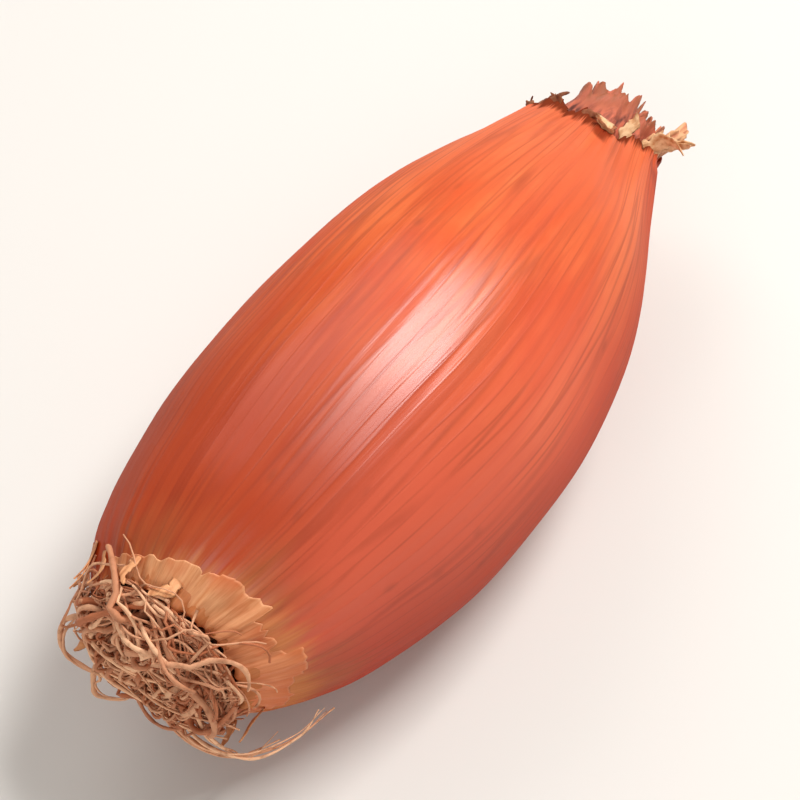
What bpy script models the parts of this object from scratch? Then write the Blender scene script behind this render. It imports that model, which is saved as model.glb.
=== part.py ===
"""A long shallot on its side: the bulb in dry skin, its tuft of dry roots, and the dried scales in its neck.

Metres, +Z up. +X runs from the roots to the neck. The origin is the middle of the flat spot that the bulb
rests on. Each body is worked out in bulb coordinates first: x along the axis, from the hem of the skin round
the roots (0) to the rim of the neck (LENGTH), and y and z across it. place() then bows the axis and sets the
bulb down.
"""

import math

import bmesh
import bpy
import numpy as np

# Driving dimensions of the bulb
LENGTH = 0.080  # hem to neck rim
GIRTH = 0.038  # diameter at the widest
RADIUS = GIRTH / 2
BOW = 0.0022  # how far the middle of the axis bows to -Y from its ends
FLAT_DEPTH = 0.0004  # how much of the belly the resting spot flattens
REST_STATION = 0.445  # share of LENGTH at which the bulb balances
BOW_BALANCE = 0.78  # share of BOW that centres the weight over the resting spot
GAP = 0.0004  # clear space between two bodies that touch

# Outline of the bulb as (share of LENGTH, share of RADIUS): blunt at the roots, drawn out to the neck
OUTLINE = (
    (0.00, 0.52),
    (0.03, 0.635),
    (0.09, 0.77),
    (0.20, 0.905),
    (0.43, 1.00),
    (0.62, 0.93),
    (0.78, 0.745),
    (0.90, 0.52),
    (1.00, 0.35),
)
AROUND = 60  # points round each ring of the bulb
ALONG = 30  # rings along the outside of the bulb

# The cut neck: a cup with a thin torn rim of skin
SKIN_WALL = 0.0008
CUP_DEPTH = 0.0040
RIM_TEAR = 0.0013  # height of the tears in the rim
SCALE_TEAR = 0.0013  # height of the tears in the dried scales
PLEATS = 9  # folds where the skin gathers into the neck
NECK_SLANT = 0.0095  # how much shorter the neck is on its torn-back side than opposite it
SLANT_SIDE = math.radians(66)  # the side that is torn back, turned from +Y towards +Z
SLANT_CENTRE = 0.30  # share of NECK_SLANT that the far side gains beyond LENGTH

# The root end: the skin ends in a torn hem round a shallow dish
HEM_TEAR = 0.0006
DISH_RADIUS = 0.0080
DISH_DEPTH = 0.0024

# The corky plate in the dish, and the dry roots on it
PLATE_RADIUS = 0.0064
PLATE_DOME = 0.0020
ROOT_COUNT = 60
ROOT_RADIUS = 0.00046
ROOT_STEP = 0.0021  # length of one straight stretch of a root
ROOT_SEED = 11
ROOT_CLEAR = 0.0009  # least distance from a root's middle line to the bulb

# Colours, roughness
SKIN_COLOUR = (0.66, 0.14, 0.035)
ROOT_COLOUR = (0.53, 0.33, 0.17)
SCALE_COLOUR = (0.32, 0.14, 0.06)


# --- Form of the bulb ---


def smooth_curve(points, at):
    """Values at "at" of the smooth curve through (position, value) points, by cubic Hermite spans."""
    x, y = np.array(points, float).T
    slope = np.gradient(y, x)
    span = np.clip(np.searchsorted(x, at, side="right") - 1, 0, len(x) - 2)
    width = x[span + 1] - x[span]
    t = (at - x[span]) / width
    return (
        (2 * t**3 - 3 * t**2 + 1) * y[span]
        + (t**3 - 2 * t**2 + t) * width * slope[span]
        + (3 * t**2 - 2 * t**3) * y[span + 1]
        + (t**3 - t**2) * width * slope[span + 1]
    )


def outline_radius(x):
    """Radius of the round bulb at x, before its flats, pleats and ridges."""
    return RADIUS * smooth_curve(OUTLINE, np.clip(x / LENGTH, 0, 1))


def unevenness(x, theta):
    """Share by which the bulb is out of round: flattened sides, pleats at the ends and fine ribs between."""
    s = np.clip(x / LENGTH, 0, 1)
    flats = 0.014 * np.cos(2 * theta - 0.9 - 1.1 * s) + 0.010 * np.cos(3 * theta + 0.6 + 2.0 * s)
    folds = PLEATS * theta + 1.3 * np.sin(2 * theta + 0.5) + 3.0 * s
    gather = np.clip((s - 0.70) / 0.30, 0, 1) ** 1.5 * (0.045 * np.cos(folds) + 0.020 * np.cos(5 * theta))
    tuck = 0.022 * np.clip(1 - s / 0.14, 0, 1) ** 1.5 * np.cos(13 * theta + 1.1 * np.sin(3 * theta))
    ribs = 0.0035 * np.sin(math.pi * s) * (
        np.cos(15 * theta + 1.5 * s) + 0.8 * np.cos(19 * theta - 2.0 * s + 1.0)
    )
    return flats + gather + tuck + ribs


def tears(theta, phase):
    """Ragged edge between about -1 and 1, the same after each full turn."""
    return (
        0.5 * np.sin(5 * theta + phase)
        + 0.3 * np.sin(11 * theta + 2.3 * phase)
        + 0.25 * np.sin(17 * theta + 0.7 * phase)
    )


def slant(x, theta):
    """How far the slanting tear takes the neck back at x: nothing below the shoulder, most at the rim."""
    rise = np.clip((x / LENGTH - 0.6) / 0.4, 0, 1) ** 2
    return NECK_SLANT * rise * ((1 + np.cos(theta - SLANT_SIDE)) / 2 - SLANT_CENTRE)


def place(points):
    """Bulb coordinates to the frame of the part: the axis bowed and the bulb set down on its flat spot."""
    x, y, z = np.asarray(points, float).T
    s = x / LENGTH
    bowed = y - BOW * (4 * s * (1 - s) - BOW_BALANCE)
    return np.column_stack([x - REST_STATION * LENGTH, bowed, z + RADIUS - FLAT_DEPTH])


# --- Making meshes ---


def material(name, colour, roughness):
    made = bpy.data.materials.new(name)
    made.use_nodes = True
    shader = made.node_tree.nodes["Principled BSDF"]
    shader.inputs["Base Color"].default_value = (*colour, 1.0)
    shader.inputs["Roughness"].default_value = roughness
    return made


def turned_body(name, profile, around):
    """A closed body turned round the bulb's axis: a sphere whose rings are carried to the profile's points.

    profile has a row (x, radius, tear, phase, slanted) for each ring, from the pole nearest the neck to the
    pole nearest the roots. tear is how far the ring's ragged edge moves it along the axis, and phase turns
    that edge. slanted is the share of the neck's slant that the ring follows.
    """
    rows = np.array(profile, float)
    mesh = bpy.data.meshes.new(name)
    shape = bmesh.new()
    bmesh.ops.create_uvsphere(shape, u_segments=around, v_segments=len(rows) - 1, radius=1.0)
    sphere = np.array([v.co for v in shape.verts])
    ring = np.rint(np.arccos(np.clip(sphere[:, 2], -1, 1)) / math.pi * (len(rows) - 1)).astype(int)
    theta = np.arctan2(sphere[:, 1], sphere[:, 0])
    x, radius, tear, phase, slanted = rows[ring].T
    cut = x - slanted * slant(x, theta)
    radius = radius * outline_radius(cut) / outline_radius(x) * (1 + unevenness(x, theta))
    x = cut + tear * tears(theta, phase)
    moved = place(np.column_stack([x, radius * np.cos(theta), radius * np.sin(theta)]))
    for vertex, co in zip(shape.verts, moved):
        vertex.co = co
    shape.to_mesh(mesh)
    shape.free()
    body = bpy.data.objects.new(name, mesh)
    mesh.shade_smooth()
    mesh.set_sharp_from_angle(angle=math.radians(40))
    return body


# --- The bulb ---


def bulb_profile():
    """Rings from the floor of the neck's cup, over its rim, along the outside and into the roots' dish."""
    rim = outline_radius(LENGTH)
    inside = rim - SKIN_WALL
    floor = LENGTH - CUP_DEPTH
    cup = [
        (floor, 0.0, 0, 0, 1),
        (floor, inside * 0.5, 0, 0, 1),
        (floor, inside, 0, 0, 1),
        (LENGTH - CUP_DEPTH * 0.45, inside, 0, 0, 1),
        (LENGTH + 0.0002, inside + 0.0001, RIM_TEAR, 1.0, 1),
    ]
    # Rings crowd towards both ends, where the outline turns fastest.
    share = np.linspace(1, 0, ALONG)
    stations = LENGTH * (share - 0.09 * np.sin(2 * math.pi * share))
    outside = [(x, r, 0, 0, 1) for x, r in zip(stations[1:-1], outline_radius(stations[1:-1]))]
    rim_edge = [(LENGTH, rim, RIM_TEAR, 1.0, 1)]
    hem = outline_radius(0)
    dish = [
        (0.0, hem, HEM_TEAR * 0.5, 2.0, 0),
        (-0.0006, hem - 0.0007, HEM_TEAR, 2.0, 0),
        (0.0004, DISH_RADIUS, 0, 0, 0),
        (DISH_DEPTH, DISH_RADIUS * 0.96, 0, 0, 0),
        (DISH_DEPTH, DISH_RADIUS * 0.5, 0, 0, 0),
        (DISH_DEPTH, 0.0, 0, 0, 0),
    ]
    return cup + rim_edge + outside + dish


def make_bulb(collection, cutters):
    bulb = turned_body("bulb", bulb_profile(), AROUND)
    bulb.data.materials.append(material("dry_skin", SKIN_COLOUR, 0.35))
    collection.objects.link(bulb)
    # The surface that it rests on flattens the lowest part of the belly.
    bpy.ops.mesh.primitive_cube_add(size=1.0, location=(0, 0, -0.5 * RADIUS))
    surface = bpy.context.object
    surface.name = "resting_surface"
    surface.scale = (LENGTH, GIRTH, RADIUS)
    surface.hide_render = True
    surface.display_type = "WIRE"
    bpy.context.collection.objects.unlink(surface)
    cutters.objects.link(surface)
    flatten = bulb.modifiers.new("resting_spot", "BOOLEAN")
    flatten.operation = "DIFFERENCE"
    flatten.solver = "EXACT"
    flatten.object = surface
    return bulb


# --- The roots ---


def base_depth(radius):
    """x of the root end at this distance from the axis: the hem's crest inside, the outline beyond it."""
    x = np.linspace(0, 0.3 * LENGTH, 120)
    beyond = np.interp(radius, outline_radius(x), x)
    return np.where(radius < outline_radius(0), -0.0006 - HEM_TEAR, beyond)


def root_path(number, random):
    """Middle line of one root: out of the plate, over the hem, then curling round the foot of the bulb."""
    start_angle = number * math.radians(137.5)  # the golden angle spreads the roots over the plate
    start_radius = 0.85 * PLATE_RADIUS * math.sqrt((number + 0.5) / ROOT_COUNT)
    if number % 3 == 0:
        reach = random.uniform(-0.0020, 0.0020)
    else:
        reach = random.uniform(0.0025, 0.0080)
    lift = random.uniform(0.0004, 0.0026)
    sweep = random.uniform(0.5, 1.9) * random.choice((-1, 1))
    curl = random.uniform(0.0004, 0.0010)
    turns = random.uniform(4.0, 9.0)
    turn_start = random.uniform(0, 2 * math.pi)
    length = abs(reach) + 2 * lift + 2 * curl + abs(sweep) * (start_radius + 0.6 * reach)
    t = np.linspace(0, 1, max(5, round(length / ROOT_STEP)))
    grown = np.clip(3 * t, 0, 1)
    radius = start_radius + reach * (1 - (1 - t) ** 1.6) + curl * grown * np.cos(turns * t + turn_start)
    radius = np.maximum(radius, 0.0005)
    angle = start_angle + sweep * t**1.2
    depth = lift * np.sin(math.pi * t**0.8) + curl * (1 + np.sin(turns * t + turn_start))
    outside = base_depth(radius) - ROOT_CLEAR - depth
    inside = 0.4 * DISH_DEPTH
    x = inside + (outside - inside) * grown
    return place(np.column_stack([x, radius * np.cos(angle), radius * np.sin(angle)]))


def make_root(number, path, collection):
    """One root as a thin tube, made a closed mesh that a Boolean can join."""
    line = bpy.data.curves.new(f"root_{number:02d}", "CURVE")
    line.dimensions = "3D"
    line.bevel_depth = ROOT_RADIUS
    line.bevel_resolution = 0
    line.use_fill_caps = True
    spline = line.splines.new("POLY")
    spline.points.add(len(path) - 1)
    taper = np.linspace(1.0, 0.65, len(path))
    for point, co, thick in zip(spline.points, path, taper):
        point.co = (*co, 1.0)
        point.radius = thick
    tube = bpy.data.objects.new(line.name, line)
    collection.objects.link(tube)
    bpy.context.view_layer.update()
    mesh = bpy.data.meshes.new_from_object(tube.evaluated_get(bpy.context.evaluated_depsgraph_get()))
    welded = bmesh.new()
    welded.from_mesh(mesh)
    bmesh.ops.remove_doubles(welded, verts=welded.verts, dist=1e-6)
    welded.to_mesh(mesh)
    welded.free()
    root = bpy.data.objects.new(line.name, mesh)
    root.matrix_world = tube.matrix_world
    collection.objects.link(root)
    bpy.data.objects.remove(tube)
    bpy.data.curves.remove(line)


def drop_scraps(mesh):
    """Keep only the largest connected piece of the mesh: slivers that the union pinches off go."""
    shape = bmesh.new()
    shape.from_mesh(mesh)
    unseen = set(shape.verts)
    pieces = []
    while unseen:
        piece = {unseen.pop()}
        edge_of_piece = set(piece)
        while edge_of_piece:
            linked = {edge.other_vert(vert) for vert in edge_of_piece for edge in vert.link_edges}
            edge_of_piece = linked & unseen
            unseen -= edge_of_piece
            piece |= edge_of_piece
        pieces.append(piece)
    pieces.sort(key=len)
    scraps = [vert for piece in pieces[:-1] for vert in piece]
    bmesh.ops.delete(shape, geom=scraps, context="VERTS")
    shape.to_mesh(mesh)
    shape.free()


def plate_profile():
    """Rings of the corky plate, from its back in the dish to the middle of its domed face."""
    back = DISH_DEPTH - GAP
    return [
        (back, 0.0, 0, 0, 0),
        (back, PLATE_RADIUS * 0.6, 0, 0, 0),
        (back, PLATE_RADIUS * 0.97, 0, 0, 0),
        (back * 0.55, PLATE_RADIUS, 0, 0, 0),
        (0.10 * PLATE_DOME, PLATE_RADIUS * 0.90, 0.0003, 0.5, 0),
        (-0.45 * PLATE_DOME, PLATE_RADIUS * 0.66, 0.0003, 1.5, 0),
        (-0.80 * PLATE_DOME, PLATE_RADIUS * 0.36, 0.0002, 2.5, 0),
        (-PLATE_DOME, 0.0, 0, 0, 0),
    ]


def make_roots(collection):
    """The plate with every root fused to it as one body."""
    plate = turned_body("root_tuft", plate_profile(), 28)
    collection.objects.link(plate)
    loose = bpy.data.collections.new("loose_roots")
    bpy.context.scene.collection.children.link(loose)
    random = np.random.default_rng(ROOT_SEED)
    for number in range(ROOT_COUNT):
        make_root(number, root_path(number, random), loose)
    fuse = plate.modifiers.new("fused_roots", "BOOLEAN")
    fuse.operation = "UNION"
    fuse.operand_type = "COLLECTION"
    fuse.collection = loose
    fuse.solver = "MANIFOLD"  # EXACT leaves slivers where roots graze each other
    bpy.context.view_layer.update()
    fused = bpy.data.meshes.new_from_object(plate.evaluated_get(bpy.context.evaluated_depsgraph_get()))
    plate.modifiers.clear()
    drop_scraps(fused)
    plate.data = fused
    fused.name = "root_tuft"
    fused.materials.clear()
    fused.materials.append(material("dry_root", ROOT_COLOUR, 0.8))
    for root in list(loose.objects):
        bpy.data.objects.remove(root)
    bpy.data.collections.remove(loose)
    return plate


# --- The neck ---


def scale_profile():
    """Rings across the dried scales: three ragged ridges with grooves between, then down the plug's side.

    The ridges stand straight, so they show over the torn-back side of the rim. The foot follows the cup.
    """
    outer = outline_radius(LENGTH) - SKIN_WALL - GAP
    floor = LENGTH - CUP_DEPTH + GAP
    groove = LENGTH - 0.55 * CUP_DEPTH
    rows = [(LENGTH - 0.45 * CUP_DEPTH, 0.0, 0, 0, 0.3)]
    for share, top, phase in ((0.20, 0.0020, 0.4), (0.50, 0.0036, 2.2), (0.86, 0.0026, 4.1)):
        rows += [
            (groove, outer * (share - 0.14), 0, 0, 0.3),
            (LENGTH + top, outer * (share - 0.03), SCALE_TEAR, phase, 0.25),
            (LENGTH + top, outer * (share + 0.04), SCALE_TEAR, phase, 0.25),
        ]
    rows += [
        (groove, outer * 0.96, 0, 0, 0.5),
        (floor, outer, 0, 0, 1),
        (floor, outer * 0.5, 0, 0, 1),
        (floor, 0.0, 0, 0, 1),
    ]
    return rows


def make_neck_scales(collection):
    scales = turned_body("neck_scales", scale_profile(), 40)
    scales.data.materials.append(material("dried_scale", SCALE_COLOUR, 0.7))
    collection.objects.link(scales)
    return scales


def main():
    for old in list(bpy.data.objects):
        bpy.data.objects.remove(old)
    shallot = bpy.data.collections.new("shallot")
    cutters = bpy.data.collections.new("cutters")
    bpy.context.scene.collection.children.link(shallot)
    bpy.context.scene.collection.children.link(cutters)
    make_bulb(shallot, cutters)
    make_roots(shallot)
    make_neck_scales(shallot)


main()
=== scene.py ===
import math

import bpy
import numpy as np
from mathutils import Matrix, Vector


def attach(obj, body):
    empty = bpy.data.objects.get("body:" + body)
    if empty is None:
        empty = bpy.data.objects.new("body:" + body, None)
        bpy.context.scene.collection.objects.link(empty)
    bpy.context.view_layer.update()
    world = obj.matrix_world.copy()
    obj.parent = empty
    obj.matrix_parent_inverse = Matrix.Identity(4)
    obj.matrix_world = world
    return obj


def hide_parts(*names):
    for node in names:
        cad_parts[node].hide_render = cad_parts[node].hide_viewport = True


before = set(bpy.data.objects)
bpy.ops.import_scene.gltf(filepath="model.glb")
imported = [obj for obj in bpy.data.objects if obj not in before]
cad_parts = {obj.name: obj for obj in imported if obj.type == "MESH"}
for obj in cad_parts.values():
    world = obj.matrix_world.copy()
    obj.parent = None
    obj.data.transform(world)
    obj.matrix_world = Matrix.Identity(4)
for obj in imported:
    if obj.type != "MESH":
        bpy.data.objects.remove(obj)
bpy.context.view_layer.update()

print("frame loaded, nodes:", sorted(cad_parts))

# Bulb coordinates: x runs from the hem of the skin round the roots (0) to the rim of the neck (length),
# theta turns round the axis from +Y towards +Z. place() takes them to the frame. Metres throughout.
bulbForm = {
    "length": 0.080,
    "radius": 0.019,
    "bow": 0.0022,
    "bowBalance": 0.78,
    "restStation": 0.445,
    "flatDepth": 0.0004,
    "outline": ((0.00, 0.52), (0.03, 0.635), (0.09, 0.77), (0.20, 0.905), (0.43, 1.00),
                (0.62, 0.93), (0.78, 0.745), (0.90, 0.52), (1.00, 0.35)),
    "pleats": 9,
    "neckSlant": 0.0095,
    "slantSide": math.radians(66),
    "slantCentre": 0.30,
    "skinWall": 0.0008,
    "cupDepth": 0.0040,
    "rimTear": 0.0013,
    "hemTear": 0.0006,
    "dishRadius": 0.0080,
    "dishDepth": 0.0024,
}
length = bulbForm["length"]
radius = bulbForm["radius"]
wrapRadius = 1000 * radius  # mm, of the cylinder that the skin's patterns are wrapped on


# value at "at" of the smooth cubic curve through (position, value) points
def smoothCurve(points, at):
    x, y = np.array(points, float).T
    slope = np.gradient(y, x)
    span = np.clip(np.searchsorted(x, at, side="right") - 1, 0, len(x) - 2)
    width = x[span + 1] - x[span]
    t = (at - x[span]) / width
    return ((2 * t**3 - 3 * t**2 + 1) * y[span] + (t**3 - 2 * t**2 + t) * width * slope[span]
            + (3 * t**2 - 2 * t**3) * y[span + 1] + (t**3 - t**2) * width * slope[span + 1])


# radius of the round bulb at x
def outlineRadius(x):
    return radius * smoothCurve(bulbForm["outline"], np.clip(x / length, 0, 1))


# share out of round: two flattened sides, gathered folds at the neck, tucks at the roots, ribs between
def unevenness(x, theta):
    s = np.clip(x / length, 0, 1)
    flats = 0.014 * np.cos(2 * theta - 0.9 - 1.1 * s) + 0.010 * np.cos(3 * theta + 0.6 + 2.0 * s)
    folds = bulbForm["pleats"] * theta + 1.3 * np.sin(2 * theta + 0.5) + 3.0 * s
    gather = np.clip((s - 0.70) / 0.30, 0, 1) ** 1.5 * (0.045 * np.cos(folds) + 0.020 * np.cos(5 * theta))
    tuck = 0.022 * np.clip(1 - s / 0.14, 0, 1) ** 1.5 * np.cos(13 * theta + 1.1 * np.sin(3 * theta))
    ribs = np.cos(15 * theta + 1.5 * s) + 0.8 * np.cos(19 * theta - 2.0 * s + 1.0)
    return flats + gather + tuck + 0.0020 * np.sin(math.pi * s) * ribs


# fine relief in metres: hair-fine lengthwise lines, soft dents, small creases towards both ends
def fineRelief(x, theta):
    s = np.clip(x / length, 0, 1)
    middle = np.sin(math.pi * s) ** 0.6
    lines = (0.000013 * np.cos(47 * theta + 2.0 * np.sin(3 * theta + 4 * s) + 2 * s)
             + 0.000012 * np.cos(73 * theta - 1.6 * np.sin(4 * theta - 5 * s) + 1.0)
             + 0.000009 * np.cos(109 * theta + 2.4 * np.sin(5 * theta + 3 * s)))
    dents = (0.00016 * np.cos(3 * theta + 7.0 * s + 1.0) * np.cos(9.0 * s - theta)
             + 0.00010 * np.cos(5 * theta - 13 * s) * np.cos(17 * s + 2 * theta + 0.6))
    toNeck = np.clip((s - 0.74) / 0.26, 0, 1) ** 1.3
    toRoots = np.clip(1 - s / 0.16, 0, 1) ** 1.3
    creases = (0.00013 * toNeck * np.cos(26 * theta + 2.2 * np.sin(4 * theta) + 9 * s)
               + 0.00009 * toNeck * np.cos(41 * theta - 2.0 * np.sin(5 * theta) + 5 * s)
               + 0.00010 * toRoots * np.cos(33 * theta + 2.0 * np.sin(5 * theta + 1) - 8 * s)
               + 0.00006 * toRoots * np.cos(52 * theta + 1.5 * np.sin(7 * theta)))
    return middle * (lines + dents) + creases


# ragged edge between about -1 and 1, the same after each full turn
def tears(theta, phase):
    return (0.5 * np.sin(5 * theta + phase) + 0.3 * np.sin(11 * theta + 2.3 * phase)
            + 0.25 * np.sin(17 * theta + 0.7 * phase))


# small nicks that go on top of the tears
def nicks(theta, phase):
    return (0.34 * np.sin(29 * theta + 1.9 * phase) + 0.26 * np.sin(43 * theta - phase)
            + 0.20 * np.abs(np.sin(33.5 * theta + phase)) ** 0.5 * np.sign(np.sin(67 * theta + 2 * phase)))


# torn paper's edge round a full turn: straight rips between points drawn at uneven steps, about -1 to 1
def ripped(theta, seed, count):
    draw = np.random.default_rng(seed)
    knots = 2 * math.pi * (np.arange(count) + draw.uniform(-0.35, 0.35, count)) / count
    return np.interp(theta, knots, draw.uniform(-1, 1, count), period=2 * math.pi)


# edge split into strips of uneven width along the fibres, each with its own height and slant, about -1 to 1
def strips(theta, seed, count):
    draw = np.random.default_rng(seed)
    splits = np.sort(draw.uniform(0, 2 * math.pi, count))
    strip = np.searchsorted(splits, theta % (2 * math.pi)) % count
    wide = (splits[strip] - splits[strip - 1]) % (2 * math.pi)
    across = ((theta - splits[strip - 1]) % (2 * math.pi)) / wide
    return draw.uniform(-0.8, 0.8, count)[strip] + draw.uniform(-0.5, 0.5, count)[strip] * (2 * across - 1)


# how far the slanting tear takes the neck back at x
def slantCut(x, theta):
    rise = np.clip((x / length - 0.6) / 0.4, 0, 1) ** 2
    towards = (1 + np.cos(theta - bulbForm["slantSide"])) / 2
    return bulbForm["neckSlant"] * rise * (towards - bulbForm["slantCentre"])


# bulb coordinates to the frame: the axis bowed, the bulb set down on its flat spot
def place(x, y, z):
    s = x / length
    bowed = y - bulbForm["bow"] * (4 * s * (1 - s) - bulbForm["bowBalance"])
    up = np.maximum(z + radius - bulbForm["flatDepth"], 0.0)
    return np.stack([x - bulbForm["restStation"] * length, bowed, up], axis=-1)


# rows (x, radius) carried round the axis by the angles, with the neck's slant, the folds and the torn edges
def turned(rowX, rowRadius, rowTear, rowPhase, angles, relief=0.0, nickShare=0.6, slanted=None, wobble=None):
    x = np.asarray(rowX)[:, None] + 0 * angles[None, :]
    theta = angles[None, :] + 0 * x
    tear = np.asarray(rowTear)[:, None]
    phase = np.asarray(rowPhase)[:, None]
    follow = 1.0 if slanted is None else np.asarray(slanted)[:, None]
    cut = x - follow * slantCut(x, theta)
    out = np.asarray(rowRadius)[:, None] * outlineRadius(cut) / outlineRadius(x) * (1 + unevenness(x, theta))
    if wobble is not None:
        out = out * (1 + wobble)
    out = out + relief * fineRelief(x, theta)
    along = cut + tear * (tears(theta, phase) + nickShare * nicks(theta, phase))
    return place(along, out * np.cos(theta), out * np.sin(theta)), x, theta


# one object from vertices and faces, riding on the root body
def addPiece(name, vertices, faces, material, attributes=None):
    mesh = bpy.data.meshes.new(name)
    mesh.from_pydata(np.asarray(vertices).reshape(-1, 3).tolist(), [], faces)
    for key, values in (attributes or {}).items():
        flat = np.asarray(values, dtype=np.float32)
        if flat.ndim == 2:
            mesh.attributes.new(key, "FLOAT_VECTOR", "POINT").data.foreach_set("vector", flat.ravel())
        else:
            mesh.attributes.new(key, "FLOAT", "POINT").data.foreach_set("value", flat)
    mesh.update()
    mesh.shade_smooth()
    mesh.materials.append(material)
    piece = bpy.data.objects.new(name, mesh)
    bpy.context.scene.collection.objects.link(piece)
    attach(piece, "root")
    print("made", name, len(mesh.vertices), "points,", len(mesh.polygons), "faces")
    return piece


# quads of a grid of rows x columns, with the columns closed into a ring and, if asked, the rows too
def ringQuads(rows, columns, first=0, closeRows=False):
    row, column = np.meshgrid(np.arange(rows if closeRows else rows - 1), np.arange(columns), indexing="ij")
    nextRow = (row + 1) % rows
    nextColumn = (column + 1) % columns
    quads = np.stack([row * columns + column, nextRow * columns + column,
                      nextRow * columns + nextColumn, row * columns + nextColumn], axis=-1)
    return (first + quads.reshape(-1, 4)).tolist()


# triangles from a ring of columns to one point; the last argument turns them over
def fan(ringFirst, columns, point, turnedOver):
    here = ringFirst + np.arange(columns)
    after = ringFirst + (np.arange(columns) + 1) % columns
    middle = np.full(columns, point)
    order = [after, here, middle] if turnedOver else [here, after, middle]
    return np.stack(order, axis=-1).tolist()


# faces of a grid turned into a ring, with both ends closed to the two points that come after it
def closedRing(rows, columns, first=0):
    middle = first + rows * columns
    return (ringQuads(rows, columns, first) + fan(first, columns, middle, True)
            + fan(middle - columns, columns, middle + 1, False))


# count angles evenly round a full turn
def fullTurn(count):
    return np.linspace(0, 2 * math.pi, count, endpoint=False)


# tubes along many paths at once: paths (count, points, 3), across and thick (count, points) as half sizes;
# an ellipse is carried along each path, square to it, and each end is closed to a point
def tubes(paths, across, thick, sides, sideways=None, first=0):
    count, points = paths.shape[:2]
    tangent = np.gradient(paths, axis=1)
    tangent /= np.linalg.norm(tangent, axis=2, keepdims=True)
    if sideways is None:  # a fixed direction that each path keeps well away from
        trial = np.array([(1, 0, 0), (0, 1, 0), (0, 0, 1), (1, 1, 0), (1, -1, 0), (0, 1, 1), (0, 1, -1),
                          (1, 0, 1), (1, 0, -1), (1, 1, 1), (1, -1, 1), (1, 1, -1), (-1, 1, 1)], float)
        trial /= np.linalg.norm(trial, axis=1, keepdims=True)
        leaning = np.abs(np.einsum("cpk,tk->ctp", tangent, trial)).max(axis=2)
        sideways = trial[leaning.argmin(axis=1)][:, None, :] + 0 * paths
    normal = np.cross(tangent, sideways)
    normal /= np.linalg.norm(normal, axis=2, keepdims=True)
    wide = np.cross(normal, tangent)
    turn = fullTurn(sides)
    ring = (across[..., None, None] * np.cos(turn)[:, None] * wide[:, :, None, :]
            + thick[..., None, None] * np.sin(turn)[:, None] * normal[:, :, None, :])
    body = (paths[:, :, None, :] + ring).reshape(count, points * sides, 3)
    ends = np.stack([paths[:, 0], paths[:, -1]], axis=1)
    vertices = np.concatenate([body, ends], axis=1).reshape(-1, 3)
    quads = ringQuads(points, sides)
    firstFan = fan(0, sides, points * sides, True)
    lastFan = fan((points - 1) * sides, sides, points * sides + 1, False)
    start = first + (np.arange(count) * (points * sides + 2))[:, None, None]
    faces = []
    for group in (quads, firstFan, lastFan):
        group = np.array(group)[:, ::-1]
        faces += (start + group[None]).reshape(-1, group.shape[1]).tolist()
    return vertices, faces


# a thin closed sheet from its outer and inner grids of points
def thinSheet(outer, inner):
    rows, columns = outer.shape[:2]
    row, column = np.meshgrid(np.arange(rows - 1), np.arange(columns - 1), indexing="ij")
    corner = row * columns + column
    top = np.stack([corner, corner + columns, corner + columns + 1, corner + 1], axis=-1).reshape(-1, 4)
    total = rows * columns
    bottom = top[:, ::-1] + total
    edge = np.concatenate([np.arange(columns), np.arange(1, rows) * columns + columns - 1,
                           (rows - 1) * columns + np.arange(columns - 2, -1, -1),
                           np.arange(rows - 2, 0, -1) * columns])
    after = np.roll(edge, -1)
    side = np.stack([edge, after, after + total, edge + total], axis=-1)
    vertices = np.concatenate([outer.reshape(-1, 3), inner.reshape(-1, 3)])
    return vertices, np.concatenate([top, bottom, side]).tolist()


# sRGB hex to the linear colour that a socket takes, channel by channel
def linear(hexCode):
    channel = np.array([int(hexCode[i:i + 2], 16) for i in (1, 3, 5)]) / 255
    return tuple(np.where(channel <= 0.04045, channel / 12.92, ((channel + 0.055) / 1.055) ** 2.4)) + (1.0,)


# adds one node and gives its output "out": inputs are values or other nodes' sockets, the rest its settings
def addNode(tree, kind, inputs=None, out=0, **settings):
    node = tree.nodes.new("ShaderNode" + kind)
    for key, value in settings.items():
        setattr(node, key, value)
    for key, value in (inputs or {}).items():
        if isinstance(value, bpy.types.NodeSocket):
            tree.links.new(value, node.inputs[key])
        else:
            node.inputs[key].default_value = value
    return node.outputs[out]


def newMaterial(name):
    material = bpy.data.materials.new(name)
    material.use_nodes = True
    return material, material.node_tree, material.node_tree.nodes["Principled BSDF"]


# gives a dull material its colour, its roughness, and a relief that follows the height
def dressPaper(tree, shader, look, colour, height):
    tree.links.new(colour, shader.inputs["Base Color"])
    shader.inputs["Roughness"].default_value = look["roughness"]
    bump = addNode(tree, "Bump", {"Height": height, "Strength": look["reliefStrength"],
                                  "Distance": look["relief"]})
    tree.links.new(bump, shader.inputs["Normal"])


# the way square to the axis at an angle in degrees, so long that the skin's surface measures 1 along it
def wayTo(degrees):
    turn = math.radians(degrees)
    return math.cos(turn) / wrapRadius, math.sin(turn) / wrapRadius, 0.0


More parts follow.
